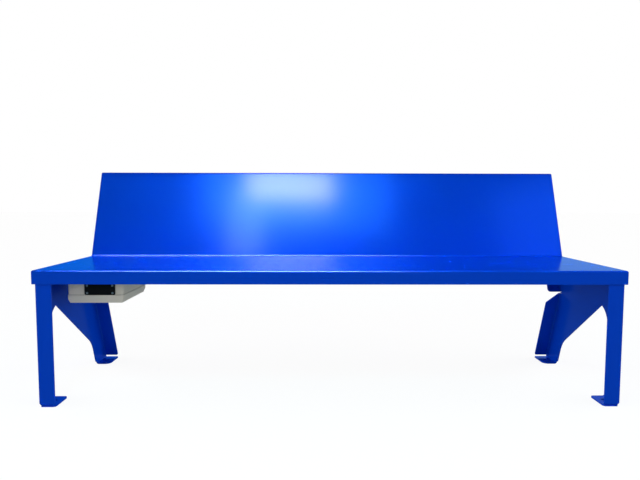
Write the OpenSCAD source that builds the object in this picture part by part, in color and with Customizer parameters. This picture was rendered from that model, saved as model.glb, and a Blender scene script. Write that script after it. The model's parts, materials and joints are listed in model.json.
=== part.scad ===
// Heated street bench: one bent sheet makes the seat and the back, two folded plates make the legs, and a
// plastic box under the left end of the seat holds the supply and the control of the seat's heating.
// X runs along the bench, Y from the front to the back, Z up. The origin is on the floor, under the middle.

/* [Seat and back] */
// Height of the seat above the floor
seat_height = 450; // [420:1:500]
// Length of the bench
bench_length = 1927; // [1700:1:2300]
// Depth of the seat, from its front face to the back
seat_depth = 462; // [440:1:500]
// Sheet of the seat and the back
panel_sheet = 3; // [2:0.5:4]
// Height of the folded edge round the seat
apron_height = 45; // [42:1:60]
// Length of the back along its slope
back_length = 367.5; // [330:0.5:450]
// Lean of the back from upright, degrees
back_lean = 20.2; // [15:0.2:26]
// Depth of the folded edge round the back
back_return = 35; // [32:1:45]
// Outer radius of the panel's folds
panel_fold_r = 6; // [5:0.5:8]
// Inner radius of the bend between seat and back
junction_r = 6; // [4:0.5:10]

/* [End frames] */
// Plate of the end frames
frame_plate = 5; // [4:0.5:6]
// Outer radius of the end frames' folds
frame_fold_r = 10; // [8:0.5:12]
// Width of the flange down the front leg
front_flange_width = 54; // [50:0.5:65]
// Width of the other flanges and the feet
flange_width = 56.5; // [50:0.5:65]
// From the seat's end to the outer face of the end frame
frame_inset = 8; // [7.5:0.5:14]
// Depth of the front leg
front_leg_depth = 89; // [75:1:100]
// Drop of the brace's top corner below the seat
brace_drop = 106; // [100:1:130]
// Slope of the brace, degrees below level
brace_slope = 36.6; // [34:0.2:39]
// Radius of the arch beside the front leg
arch_r = 68; // [50:1:80]
// Radius of the arch's tip under the brace
arch_tip_r = 9; // [6:1:15]
// Radius where the brace runs into the rear leg
knee_r = 110; // [80:1:130]
// Lean of the rear leg's front edge, degrees
rear_leg_front_lean = 19.6; // [18:0.1:23]
// Lean of the rear leg's flange, degrees
rear_leg_lean = 20.6; // [19:0.1:22]
// Height of the notch between the rear leg and the arm behind the back
notch_height = 303.5; // [290:0.5:320]
// Drop of the rear flange's sloping top end below the notch
notch_drop = 44; // [30:1:55]
// Length of the arm up the back's slope
arm_length = 260; // [220:1:290]
// Slit between the rear flange and its foot, height above the floor
foot_slit = 15; // [12:1:20]
// Radius of the floor bolt holes
floor_hole_r = 7; // [5:0.5:8]

/* [Frame rails] */
// Width of a rail
rail_width = 30; // [26:1:36]
// Height of a rail
rail_height = 27; // [24:1:30]
// Sheet of the rails and ribs
rail_sheet = 2.5; // [2:0.5:3]
// From the middle of the bench to each cross rib
rib_x = 310; // [290:1:330]
// Depth of the ribs behind the back
back_rib_depth = 24; // [18:1:28]

/* [Heating] */
// Thickness of a heater mat
mat_thickness = 1.6; // [1.2:0.1:2.5]
// Thickness of an insulation board
board_thickness = 23.5; // [20:0.5:23.5]
// Sheet of the under-seat covers
cover_sheet = 2; // [1.5:0.5:3]
// Radius of the heater loom
loom_r = 3.5; // [3:0.1:4]

/* [Control box] */
// Size of the box along the bench
box_width = 190; // [186:1:230]
// Size of the box from front to back
box_length = 240; // [236:1:280]
// Height of the box, lid included
box_height = 90; // [88:1:110]
// Wall of the box
box_wall = 3; // [2.5:0.5:4]
// Height of the lid
lid_height = 27; // [25:1:32]
// Taper of the lid on each side
lid_taper = 7.5; // [5:0.5:10]
// From the end frame's flat to the box
box_end_gap = 61.5; // [56:0.5:90]
// From the seat's front face to the box
box_front_gap = 85; // [75:1:100]
// Width of the black plate on the front of the box
plate_width = 103; // [95:1:110]
// Height of the black plate
plate_height = 38; // [34:1:40]

/* [Fixings] */
// Radius of the studs that hold the panel
stud_r = 4; // [3:0.5:5]
// Radius of the rail screws
rail_screw_r = 4; // [3:0.5:5]
// Radius of the cover screws and the box screws
small_screw_r = 2.5; // [2:0.5:3]
// Play of a screw in its hole
hole_play = 0.5; // [0.3:0.1:1]

/* [Hidden] */
$fn = 48;

paint = "#0047C8";
steel = "#B8BCC0";
box_grey = "#B9B5AE";

function unit(a) = [cos(a), sin(a)];
function arc(centre, r, a0, a1, steps) =
    [for (i = [0:steps]) centre + r * unit(a0 + (a1 - a0) * i / steps)];

// The back's slope: s runs up the back, d runs square to it, behind its front face. Points are [y, z].
function at_back(s, d) =
    [seat_depth + s * sin(back_lean) + d * cos(back_lean),
     seat_height + s * cos(back_lean) - d * sin(back_lean)];
function slope_at_height(z, d) = (z - seat_height + d * sin(back_lean)) / cos(back_lean);
function back_at_height(z, d) = at_back(slope_at_height(z, d), d);

overall_depth = at_back(back_length, back_return)[0];
half_length = bench_length / 2;
seat_under = seat_height - panel_sheet;
apron_bottom = seat_height - apron_height;
junction_tangent = junction_r * tan((90 - back_lean) / 2);
junction_y = seat_depth - junction_tangent;
junction_centre = [junction_y, seat_height + junction_r];

// Everything below is drawn from the seat's front face, and this sets the origin under the middle
module from_front() translate([0, -overall_depth / 2, 0]) children();
module both_ends() {
    children();
    mirror([1, 0, 0]) children();
}
// A flat [y, z] shape made solid from x0 to x1
module across(x0, x1) translate([x0, 0, 0]) rotate([90, 0, 90]) linear_extrude(x1 - x0) children();
// A flat [x, z] shape made solid from y0 to y1
module along_y(y0, y1) translate([0, y1, 0]) rotate([90, 0, 0]) linear_extrude(y1 - y0) children();
module upright(z0, z1) translate([0, 0, z0]) linear_extrude(z1 - z0) children();
module block(low, high) translate(low) cube(high - low);
module on_back() translate([0, seat_depth, seat_height]) rotate([-back_lean, 0, 0]) children();
// The part of a flat ring between two directions, for a fold
module fold_ring(centre, outer_r, sheet, a0, a1) intersection() {
    translate(centre) difference() {
        circle(outer_r);
        circle(outer_r - sheet);
    }
    polygon([centre, centre + 2 * outer_r * unit(a0), centre + 3 * outer_r * unit((a0 + a1) / 2),
             centre + 2 * outer_r * unit(a1)]);
}
module rod_x(x0, x1, y, z, r) translate([x0, y, z]) rotate([0, 90, 0]) cylinder(x1 - x0, r, r);
module rod_y(y0, y1, x, z, r) translate([x, y0, z]) rotate([-90, 0, 0]) cylinder(y1 - y0, r, r);
module rod_z(z0, z1, x, y, r) translate([x, y, z0]) cylinder(z1 - z0, r, r);
// A round cable through a list of points. Each run goes on past its corners by the cable's radius.
module cable(points, r) for (i = [1:len(points) - 1]) {
    way = (points[i] - points[i - 1]) / norm(points[i] - points[i - 1]);
    start = i > 1 ? points[i - 1] - r * way : points[i - 1];
    end = i < len(points) - 1 ? points[i] + r * way : points[i];
    run_r = i % 2 == 1 ? r : 0.96 * r;
    translate(start) rotate([0, acos(way[2]), atan2(way[1], way[0])]) cylinder(norm(end - start), run_r, run_r);
}
module rounded_rect(x0, y0, x1, y1, r) {
    translate([x0 + r, y0]) square([x1 - x0 - 2 * r, y1 - y0]);
    translate([x0, y0 + r]) square([x1 - x0, y1 - y0 - 2 * r]);
    for (x = [x0 + r, x1 - r], y = [y0 + r, y1 - r]) translate([x, y]) circle(r);
}

// Seat and back panel. A solid with rounded outer folds, hollowed by a smaller one.

module seat_solid(inset, fold_r, rear) {
    x = half_length - inset;
    low = inset > 0 ? apron_bottom - 10 : apron_bottom;
    top = seat_height - inset;
    intersection() {
        along_y(-1, rear) {
            translate([-x, low]) square([2 * x, top - fold_r - low]);
            translate([fold_r - x, low]) square([2 * (x - fold_r), top - low]);
            for (side = [-1, 1]) translate([side * (x - fold_r), top - fold_r]) circle(fold_r);
        }
        across(-x - 1, x + 1) {
            translate([inset, low]) square([rear - inset, top - fold_r - low]);
            translate([inset + fold_r, low]) square([rear - inset - fold_r, top - low]);
            translate([inset + fold_r, top - fold_r]) circle(fold_r);
        }
        upright(low - 1, top + 1) {
            translate([-x, inset + fold_r]) square([2 * x, rear - inset - fold_r]);
            translate([fold_r - x, inset]) square([2 * (x - fold_r), rear - inset]);
            for (side = [-1, 1]) translate([side * (x - fold_r), inset + fold_r]) circle(fold_r);
        }
    }
}
// The back's folds reach a little past the panel's side faces, and this slab cuts them off at the seat's own sides
side_bite = 0.02;
module between_sides(inset) block([inset - half_length, 0, 0], [half_length - inset, 3 * seat_depth, 3 * seat_height]);
module back_solid(inset, fold_r, rear) intersection() {
    between_sides(inset);
    on_back() {
        x = half_length - inset;
        fold_x = x - fold_r + side_bite;
        low = -2 * apron_height;
        top = back_length - inset;
        intersection() {
            along_y(-1, rear) {
                translate([-x - 1, low]) square([2 * x + 2, top - fold_r - low]);
                translate([-fold_x, low]) square([2 * fold_x, top - low]);
                for (side = [-1, 1]) translate([side * fold_x, top - fold_r]) circle(fold_r);
            }
            across(-x - 1, x + 1) {
                translate([inset, low]) square([rear - inset, top - fold_r - low]);
                translate([inset + fold_r, low]) square([rear - inset - fold_r, top - low]);
                translate([inset + fold_r, top - fold_r]) circle(fold_r);
            }
            upright(low - 1, top + 1) {
                translate([-x - 1, inset + fold_r]) square([2 * x + 2, rear - inset - fold_r]);
                translate([-fold_x, inset]) square([2 * fold_x, rear - inset]);
                for (side = [-1, 1]) translate([side * fold_x, inset + fold_r]) circle(fold_r);
            }
        }
    }
}
// The bend between seat and back. Its facets sink a little into both.
junction_bite = 0.02;
module junction_fillet() across(panel_fold_r + 0.5 - half_length, half_length - panel_fold_r - 0.5)
    polygon(concat([at_back(junction_tangent, 1), [seat_depth, seat_height - 1], [junction_y, seat_height - 1]],
                   arc(junction_centre, junction_r + junction_bite, -90, -back_lean, 6)));
module seat_back_panel() color(paint) from_front() difference() {
    union() {
        seat_solid(0, panel_fold_r, seat_depth + 8);
        intersection() {
            back_solid(0, panel_fold_r, back_return);
            block([-half_length - 1, 0, apron_bottom], [half_length + 1, 3 * seat_depth, 3 * seat_height]);
        }
        junction_fillet();
    }
    seat_solid(panel_sheet, panel_fold_r - panel_sheet, seat_depth + 2 * back_return);
    back_solid(panel_sheet, panel_fold_r - panel_sheet, back_return + 10);
}

// End frames. Each is drawn flat, its x to the back and its y up, and folds towards +z, inwards.

frame_x = half_length - frame_inset;
frame_inner_x = frame_x - frame_plate;
frame_front = panel_sheet + 1;
leg_rear = frame_front + front_leg_depth;
web_top = seat_under - 1;
notch = back_at_height(notch_height, back_return);
leg_up = [-sin(rear_leg_lean), cos(rear_leg_lean)];
leg_inwards = [-cos(rear_leg_lean), -sin(rear_leg_lean)];
heel = notch - notch_height / cos(rear_leg_lean) * leg_up;
// A point of the rear leg at height z, off inside its outer face
function leg_point(z, off) = heel + (z + off * sin(rear_leg_lean)) / cos(rear_leg_lean) * leg_up + off * leg_inwards;
notch_relief = 2;
paint_gap = 0.05;
rail_play = 2;
front_rail_y = frame_front + frame_fold_r + rail_play;
rear_rail_y = seat_depth - 34 - rail_width;
shelf_front = front_rail_y + rail_width + 2 * rail_play + frame_fold_r;
shelf_rear = rear_rail_y - 2 * rail_play - frame_fold_r;
rail_bolt_z = seat_under - rail_height / 2;
foot_front = frame_front;
foot_rear = leg_rear - 3;
brace_corner = [leg_rear, seat_height - brace_drop];
brace_dir = unit(-brace_slope);
// Depth of the rear leg at the floor
rear_foot_depth = 102;
leg_toe = [heel[0] - rear_foot_depth, 0];
leg_front_dir = unit(90 + rear_leg_front_lean);
brace_gap = brace_corner - leg_toe;
brace_end = leg_toe + leg_front_dir * (brace_gap[0] * brace_dir[1] - brace_gap[1] * brace_dir[0])
    / (leg_front_dir[0] * brace_dir[1] - leg_front_dir[1] * brace_dir[0]);
// The arch is a wide curve up the leg and a tight one at its tip. They meet at this direction from their centres.
arch_meet = 117;
arch_shift = (arch_r - arch_tip_r) * unit(arch_meet);
tip_depth = arch_r + arch_shift[0];
arch_tip = brace_corner + [tip_depth, -(arch_tip_r + tip_depth * sin(brace_slope)) / cos(brace_slope)];
arch_centre = arch_tip - arch_shift;
knee_turn = 90 - rear_leg_front_lean - brace_slope;
knee_tangent = brace_end - brace_dir * knee_r * tan(knee_turn / 2);
knee_centre = knee_tangent + knee_r * unit(-90 - brace_slope);
rear_foot_front = leg_toe[0] + 5;

// The web is cut just inside each bend, where the bend's own edge strip overlaps it
web_edge = frame_fold_r + 0.5;
edge_strip = 1;
toe_r = 10;
toe_up = (web_edge + toe_r - toe_r * sin(rear_leg_front_lean)) / cos(rear_leg_front_lean);
toe_centre = leg_toe + toe_up * leg_front_dir + toe_r * unit(rear_leg_front_lean);
web_outline = concat(
    [[frame_front + web_edge, web_edge], [leg_rear, web_edge]],
    arc(arch_centre, arch_r, 180, arch_meet, 8),
    arc(arch_tip, arch_tip_r, arch_meet - 10, 90 - brace_slope, 5),
    arc(knee_centre, knee_r, 90 - brace_slope, rear_leg_front_lean, 8),
    arc(toe_centre, toe_r, 180 + rear_leg_front_lean, 270, 4),
    [[leg_point(web_edge, 1)[0], web_edge], leg_point(foot_slit - 2, 1),
     leg_point(foot_slit, web_edge),
     leg_point(notch_height - notch_relief, web_edge), leg_point(notch_height - notch_relief, 1),
     back_at_height(notch_height + notch_relief, back_return - 1),
     back_at_height(notch_height + notch_relief, back_return - web_edge),
     at_back(arm_length, back_return - web_edge), at_back(arm_length, panel_sheet + web_edge),
     back_at_height(web_top - web_edge, panel_sheet + web_edge),
     [rear_rail_y + rail_width + rail_play, web_top - web_edge],
     [rear_rail_y + rail_width + rail_play, web_top], [shelf_rear, web_top],
     [shelf_rear, web_top - web_edge], [shelf_front, web_top - web_edge],
     [shelf_front, web_top], [frame_front + web_edge, web_top]]);

// A fold along a line from p, in direction a, with the web on its left. A slanted one stands a hair proud of the
// web, so that no two faces nearly meet.
fold_proud = 0.01;
module fold_from(p, a) translate([p[0], p[1], a % 90 == 0 ? 0 : -fold_proud]) rotate([0, 0, a]) children();
module fold_bend(u0, u1) across(u0, u1) {
    fold_ring([frame_fold_r, frame_fold_r], frame_fold_r, frame_plate, 180, 270);
    translate([frame_fold_r, 0]) square([edge_strip, frame_plate]);
}
// A flange drawn as [along the fold, away from the web]
module flange() translate([0, frame_plate, 0]) rotate([90, 0, 0]) linear_extrude(frame_plate) children();
// A strip whose outer corners are rounded by r0 and r1
module flange_strip(u0, u1, width, r0, r1) polygon(concat(
    [[u0, frame_fold_r]], [[u1, frame_fold_r]],
    arc([u1 - r1, width - r1], r1, 0, 90, 6), arc([u0 + r0, width - r0], r0, 90, 180, 6)));

foot_hole_w = 32;
front_hole_y = (foot_front + frame_fold_r + foot_rear) / 2;
rear_foot_rear = heel[0] - 2;
rear_hole_y = (rear_foot_front + rear_foot_rear) / 2;
stud_w = 32;
seat_stud_y = [shelf_front + 45, shelf_rear - 45];
back_stud_s = [95, arm_length - 45];
arm_start = 40;
arm_end = arm_length - 0.5;

module end_frame_flat() {
    difference() {
        linear_extrude(frame_plate) polygon(web_outline);
        for (y = [front_rail_y + rail_width / 2, rear_rail_y + rail_width / 2])
            translate([y, rail_bolt_z, -1]) cylinder(frame_plate + 2, rail_screw_r + hole_play, rail_screw_r + hole_play);
    }
    // Front leg
    fold_from([frame_front, web_top], -90) {
        fold_bend(0, web_top - frame_fold_r);
        flange() flange_strip(5, web_top - 8, front_flange_width, 3, 7);
    }
    // Front foot
    fold_from([0, 0], 0) {
        fold_bend(foot_front + frame_fold_r, leg_rear);
        difference() {
            flange() flange_strip(foot_front, foot_rear, flange_width, 10, 10);
            translate([front_hole_y, -1, foot_hole_w]) rotate([-90, 0, 0])
                cylinder(frame_plate + 2, floor_hole_r, floor_hole_r);
        }
    }
    // Rear foot
    fold_from([0, 0], 0) {
        fold_bend(rear_foot_front, leg_point(frame_fold_r, 1)[0]);
        difference() {
            flange() flange_strip(rear_foot_front, rear_foot_rear, flange_width, 22, 8);
            translate([rear_hole_y, -1, foot_hole_w]) rotate([-90, 0, 0])
                cylinder(frame_plate + 2, floor_hole_r, floor_hole_r);
        }
    }
    // Rear leg
    leg_length = notch_height / cos(rear_leg_lean);
    slit_u = foot_slit / cos(rear_leg_lean);
    relief_u = notch_relief / cos(rear_leg_lean);
    fold_from(heel, 90 + rear_leg_lean) {
        fold_bend(slit_u, leg_length - relief_u);
        flange() polygon(concat(
            [[slit_u, frame_fold_r], [leg_length - relief_u, frame_fold_r],
             [leg_length - relief_u - 2, frame_fold_r + 3]],
            arc([leg_length - notch_drop - 8, flange_width - 12], 12, 42, 90, 5),
            arc([slit_u + 5, flange_width - 5], 5, 90, 180, 4)));
    }
    // Arm behind the back, rear side
    arm_low = slope_at_height(notch_height + notch_relief, back_return);
    fold_from(at_back(0, back_return), 90 - back_lean) difference() {
        union() {
            fold_bend(arm_low, arm_end);
            flange() flange_strip(arm_low, arm_end, flange_width, 12, 15);
        }
        for (s = back_stud_s) translate([s, -1, stud_w]) rotate([-90, 0, 0])
            cylinder(frame_plate + 2, access_r, access_r);
    }
    // Arm behind the back, front side
    fold_from(at_back(0, panel_sheet + paint_gap), 270 - back_lean) difference() {
        union() {
            fold_bend(-arm_end, -arm_start);
            flange() flange_strip(-arm_end, -arm_start, flange_width, 12, 12);
        }
        for (s = back_stud_s) translate([-s, -1, stud_w]) rotate([-90, 0, 0])
            cylinder(frame_plate + 2, stud_r + hole_play, stud_r + hole_play);
    }
    // Shelf under the seat
    fold_from([0, seat_under], 180) difference() {
        union() {
            fold_bend(-shelf_rear, -shelf_front);
            flange() flange_strip(-shelf_rear, -shelf_front, flange_width, 8, 8);
        }
        for (y = seat_stud_y) translate([-y, -1, stud_w]) rotate([-90, 0, 0])
            cylinder(frame_plate + 2, stud_r + hole_play, stud_r + hole_play);
    }
}
access_r = 11;
module left_end_frame() color(paint) from_front() translate([-frame_x, 0, 0]) rotate([90, 0, 90]) end_frame_flat();
module right_end_frame() mirror([1, 0, 0]) left_end_frame();

// Rails and ribs. Each is a channel, open to the seat, with its floor rail_height below the seat.

rail_floor = seat_under - rail_height;
end_plate = 4;
nut_length = 7;
cover_rows = [front_rail_y + rail_width / 2, rear_rail_y + rail_width / 2];
module channel_outline() difference() {
    translate([-rail_width / 2, rail_floor]) square([rail_width, rail_height]);
    translate([rail_sheet - rail_width / 2, rail_floor + rail_sheet]) square([rail_width - 2 * rail_sheet, rail_height]);
}
module long_rail(y) difference() {
    translate([0, y, 0]) union() {
        across(-frame_inner_x, frame_inner_x) channel_outline();
        both_ends() {
            across(-frame_inner_x, end_plate - frame_inner_x) translate([-rail_width / 2, rail_floor])
                square([rail_width, rail_height]);
            rod_x(-frame_inner_x, end_plate + nut_length - frame_inner_x, 0, rail_bolt_z, rail_screw_r + 2.5);
        }
    }
    both_ends() rod_x(-frame_inner_x - 1, 15 - frame_inner_x, y, rail_bolt_z, rail_screw_r + 0.05);
    for (x = cover_screw_x) rod_z(rail_floor - 1, rail_floor + rail_sheet + 1, x, y, small_screw_r + 0.05);
}
module front_rail() color(paint) from_front() long_rail(cover_rows[0]);
module rear_rail() color(paint) from_front() long_rail(cover_rows[1]);
module seat_rib() difference() {
    along_y(front_rail_y + rail_width, rear_rail_y) channel_outline();
    rod_x(-rail_width, rail_width, loom_y, loom_z, grommet_hole_r);
}
module left_seat_rib() color(paint) from_front() translate([-rib_x, 0, 0]) seat_rib();
module right_seat_rib() mirror([1, 0, 0]) left_seat_rib();

// A hat section up the back, with a foot flange on each side
module hat_outline() {
    crown = rail_width / 2;
    translate([-crown, panel_sheet + back_rib_depth - rail_sheet]) square([rail_width, rail_sheet]);
    for (side = [0, 1]) mirror([side, 0]) {
        translate([crown - rail_sheet, panel_sheet]) square([rail_sheet, back_rib_depth]);
        translate([crown, panel_sheet]) square([14, rail_sheet]);
    }
}
rib_start = 45;
rib_margin = 30;
rib_end = back_length - rib_margin;
module left_back_rib() color(paint) from_front() on_back() translate([-rib_x, 0, 0])
    upright(rib_start, rib_end) hat_outline();
module right_back_rib() mirror([1, 0, 0]) left_back_rib();
// A plate that ties the rear rail to the foot of the rib behind the back
module left_knee_gusset() color(paint) from_front()
    across(-rib_x - frame_plate / 2, frame_plate / 2 - rib_x)
        polygon([[rear_rail_y + rail_width, rail_floor], back_at_height(rail_floor, panel_sheet + back_rib_depth),
                 at_back(rib_start, panel_sheet + back_rib_depth), at_back(rib_start, panel_sheet),
                 back_at_height(seat_under, panel_sheet), [rear_rail_y + rail_width, seat_under]]);
module right_knee_gusset() mirror([1, 0, 0]) left_knee_gusset();

// Screws, studs and nuts of the frame

module button_screw(r, length) {
    cylinder(length, r, r);
    translate([0, 0, -1.1 * r]) difference() {
        union() {
            translate([0, 0, 0.5 * r]) cylinder(0.6 * r, 1.9 * r, 1.9 * r);
            cylinder(0.5 * r, 1.3 * r, 1.9 * r);
        }
        translate([0, 0, -1]) cylinder(1 + 0.6 * r, 0.7 * r, 0.7 * r, $fn = 6);
    }
}
module rail_screws() color(steel) from_front() both_ends() for (y = cover_rows)
    translate([-frame_x, y, rail_bolt_z]) rotate([0, 90, 0]) button_screw(rail_screw_r, frame_plate + end_plate + nut_length);
module washer(r, sheet) difference() {
    cylinder(sheet, 2 * r, 2 * r);
    translate([0, 0, -1]) cylinder(sheet + 2, r + 0.2, r + 0.2);
}
module hex_nut(r, height) difference() {
    cylinder(height, 1.85 * r, 1.85 * r, $fn = 6);
    translate([0, 0, -1]) cylinder(height + 2, r, r);
}
stud_length = frame_plate + 12;
washer_sheet = 1.6;
nut_height = 1.6 * stud_r;
// The washers lie on the frame's flange, which stands off the back by the coat between them
washer_low = frame_plate + paint_gap;
// Puts a fixing at every stud, its +z away from the panel
module at_studs() both_ends() {
    for (y = seat_stud_y) translate([stud_w - frame_x, y, seat_under]) rotate([180, 0, 0]) children();
    on_back() for (s = back_stud_s) translate([stud_w - frame_x, panel_sheet, s]) rotate([-90, 0, 0]) children();
}
module panel_studs() color(steel) from_front() at_studs() {
    cylinder(stud_length, stud_r, stud_r);
    cylinder(0.8, stud_r + 0.4, stud_r + 0.4);
}
module stud_washers() color(steel) from_front() at_studs() translate([0, 0, washer_low]) washer(stud_r, washer_sheet);
module stud_nuts() color(steel) from_front() at_studs()
    translate([0, 0, washer_low + washer_sheet]) hex_nut(stud_r, nut_height);

// Heating. The three bays lie between the end frames' flanges and the ribs.

bay_play = 2;
bay_end = frame_x - flange_width - 6;
rib_side = rib_x + rail_width / 2;
bays = [[-bay_end, -rib_side], [rib_side - 2 * rib_x, 2 * rib_x - rib_side], [rib_side, bay_end]];
bay_front = front_rail_y + rail_width + bay_play;
bay_rear = rear_rail_y - bay_play;
mat_margin = 14;
mat_low = seat_under - mat_thickness;
hump_height = 8;
loom_y = (bay_front + bay_rear) / 2;
loom_z = mat_low - hump_height - loom_r - 1.5;
grommet_hole_r = loom_r + 2.5;
board_low = rail_floor + 0.5;
board_top = min(board_low + board_thickness, mat_low - 0.2);
function hump_x(bay) = bay == 0 ? bays[0][1] - 80 : bays[bay][0] + 80;
cutout_y = bay_front + 70;
function cutout_x(bay) = (bays[bay][0] + bays[bay][1]) / 2 + 60;
cutout_r = 8;
cutout_height = 6;

module heater_mat(bay) color("#C2502E") from_front() {
    block([bays[bay][0] + mat_margin + bay_play, bay_front + mat_margin, mat_low],
          [bays[bay][1] - mat_margin - bay_play, bay_rear - mat_margin, seat_under]);
    block([hump_x(bay) - 20, loom_y - 13, mat_low - hump_height], [hump_x(bay) + 20, loom_y + 13, mat_low]);
}
module left_heater_mat() heater_mat(0);
module centre_heater_mat() heater_mat(1);
module right_heater_mat() heater_mat(2);
module mat_cutouts() color("silver") from_front() for (bay = [0:2])
    rod_z(mat_low - cutout_height, mat_low, cutout_x(bay), cutout_y, cutout_r);

sensor_x = bays[1][0] + bay_play + mat_margin / 2;
sensor_r = 3;
sensor_length = 40;
sensor_z = seat_under - sensor_r;
sensor_front = loom_y - 15 - sensor_length;
module insulation(bay) color("#D8D2B8") from_front() difference() {
    block([bays[bay][0] + bay_play, bay_front, board_low], [bays[bay][1] - bay_play, bay_rear, board_top]);
    block([bays[bay][0] - 1, loom_y - loom_r - 0.8, board_low - 1],
          [bays[bay][1] + 1, loom_y + loom_r + 0.8, loom_z + loom_r + 0.8]);
    block([hump_x(bay) - 21, loom_y - 14, loom_z], [hump_x(bay) + 21, loom_y + 14, seat_under]);
    rod_z(mat_low - cutout_height - 1, seat_under, cutout_x(bay), cutout_y, cutout_r + 1);
    if (bay == 1) block([bays[1][0], sensor_front - 4, loom_z], [sensor_x + 6, loom_y + 3, seat_under]);
    if (bay == 0) {
        for (p = box_screw_places) rod_z(board_low - 1, rail_floor + small_screw_r * 1.6 + 5, p[0], p[1], 2.4 * small_screw_r);
        rod_z(board_low - 1, rail_floor + grommet_lip + 1, loom_entry_x, loom_y, grommet_hole_r + 6);
        rod_z(board_low - 1, rail_floor + earth_head + 1, earth_x, earth_y, 2.6 * earth_r);
    }
}
module left_insulation() insulation(0);
module centre_insulation() insulation(1);
module right_insulation() insulation(2);

cover_low = rail_floor - cover_sheet;
cover_split = 1;
covers = [[-bay_end, -rib_x - cover_split], [-rib_x + cover_split, rib_x - cover_split], [rib_x + cover_split, bay_end]];
cover_front = front_rail_y + rail_play;
cover_rear = rear_rail_y + rail_width - rail_play;
screw_margin = 25;
function screw_xs(cover) = [cover[0] + screw_margin, (cover[0] + cover[1]) / 2, cover[1] - screw_margin];
cover_screw_x = [for (cover = covers) each screw_xs(cover)];
module seat_cover(i) color("#C9CDD1") from_front() difference() {
    block([covers[i][0], cover_front, cover_low], [covers[i][1], cover_rear, rail_floor]);
    for (x = screw_xs(covers[i]), y = cover_rows)
        rod_z(cover_low - 1, rail_floor + 1, x, y, small_screw_r + hole_play);
    if (i == 0) {
        for (p = box_screw_places) rod_z(cover_low - 1, rail_floor + 1, p[0], p[1], small_screw_r + hole_play);
        rod_z(cover_low - 1, rail_floor + 1, loom_entry_x, loom_y, grommet_hole_r);
        rod_z(cover_low - 1, rail_floor + 1, earth_x, earth_y, earth_r + hole_play);
    }
}
module left_seat_cover() seat_cover(0);
module centre_seat_cover() seat_cover(1);
module right_seat_cover() seat_cover(2);
// A pan head screw that points up, its head's seat at z = 0
module pan_screw(r, length) {
    cylinder(length, r, r);
    translate([0, 0, -1.3 * r]) difference() {
        union() {
            translate([0, 0, 0.5 * r]) cylinder(0.8 * r, 2 * r, 2 * r);
            cylinder(0.5 * r, 1.5 * r, 2 * r);
        }
        translate([0, 0, -1]) cylinder(1 + 0.7 * r, 0.65 * r, 0.65 * r, $fn = 6);
    }
}
module cover_screws() color(steel) from_front() for (x = cover_screw_x, y = cover_rows)
    translate([x, y, cover_low]) pan_screw(small_screw_r, cover_sheet + rail_sheet + 4);

module seat_sensor() color("silver") from_front() {
    rod_y(sensor_front, sensor_front + sensor_length, sensor_x, sensor_z, sensor_r);
    cable([[sensor_x, sensor_front + sensor_length, sensor_z], [sensor_x, loom_y, sensor_z],
           [sensor_x, loom_y, loom_z + loom_r]], 1.5);
}
module sensor_clip() color(steel) from_front() translate([sensor_x, 0, 0])
    along_y(sensor_front + 12, sensor_front + 22) difference() {
        translate([-sensor_r - 1.1, sensor_z - sensor_r - 1.1]) square([2 * sensor_r + 2.2, 2 * sensor_r + 1.1]);
        translate([0, sensor_z]) circle(sensor_r + 0.1);
        translate([-sensor_r - 0.1, sensor_z]) square([2 * sensor_r + 0.2, sensor_r + 1]);
    }
module heater_loom() color("#202020") from_front() {
    cable([[loom_entry_x, loom_y, loom_low], [loom_entry_x, loom_y, loom_z], [hump_x(2), loom_y, loom_z]], loom_r);
    for (bay = [0:2]) rod_z(loom_z, mat_low - hump_height, hump_x(bay), loom_y, 2.5);
}
grommet_lip = 2;
// A rubber ring with a lip on each face of a wall from 0 to wall
module grommet(wall) difference() {
    union() {
        cylinder(wall, grommet_hole_r - 0.1, grommet_hole_r - 0.1);
        for (z = [-grommet_lip, wall]) translate([0, 0, z]) cylinder(grommet_lip, grommet_hole_r + 3, grommet_hole_r + 3);
    }
    translate([0, 0, -10]) cylinder(wall + 20, loom_r + 0.1, loom_r + 0.1);
}
module loom_grommets() color("#181818") from_front() {
    translate([loom_entry_x, loom_y, box_top - box_wall]) grommet(box_wall + cover_sheet);
    for (x = [-rib_x, rib_x], side = [-1, 1])
        translate([x + side * (rail_width / 2 - rail_sheet / 2) - rail_sheet / 2, loom_y, loom_z])
            rotate([0, 90, 0]) grommet(rail_sheet);
}

// Control box. The base is screwed up under the left cover, open below, and the lid closes it.

rim_proud = 2;
gasket_height = 1;
box_x0 = -frame_inner_x + box_end_gap;
box_x1 = box_x0 + box_width;
box_y0 = box_front_gap;
box_y1 = box_y0 + box_length;
box_top = cover_low;
box_bottom = box_top - box_height;
lid_top = box_bottom + lid_height;
base_low = lid_top + gasket_height;
base_x0 = box_x0 + rim_proud;
base_x1 = box_x1 - rim_proud;
base_y0 = box_y0 + rim_proud;
base_y1 = box_y1 - rim_proud;
box_corner_r = 8;
box_mid_x = (box_x0 + box_x1) / 2;
ceiling = box_top - box_wall;
loom_low = ceiling - 14;
boss_inset = 10;
boss_r = 5;
lid_screw_r = 2;
boss_places = [for (x = [base_x0 + boss_inset, base_x1 - boss_inset], y = [base_y0 + boss_inset, base_y1 - boss_inset]) [x, y]];
box_screw_places = [for (x = [base_x0 + 14, base_x1 - 14], y = [base_y0 + 32, base_y1 - 32]) [x, y]];
rail_drop = 5;
loom_entry_x = base_x1 - box_wall - grommet_hole_r - 9;
earth_r = 3;
earth_head = 4;
earth_x = base_x0 + box_wall + 12;
earth_y = base_y0 + 70;
plate_x = box_mid_x + 16.5;
plate_low = base_low + 0.3;
plate_screw_x = plate_width - 18;
plate_screw_z = plate_height - 13;
plate_screw_r = 1.75;
plate_sheet = 2.5;
plate_gasket = 1;
gland_x = box_mid_x + 46;
gland_z = ceiling - 28;
gland_thread_r = 10;
knock_out_r = 11;
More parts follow.
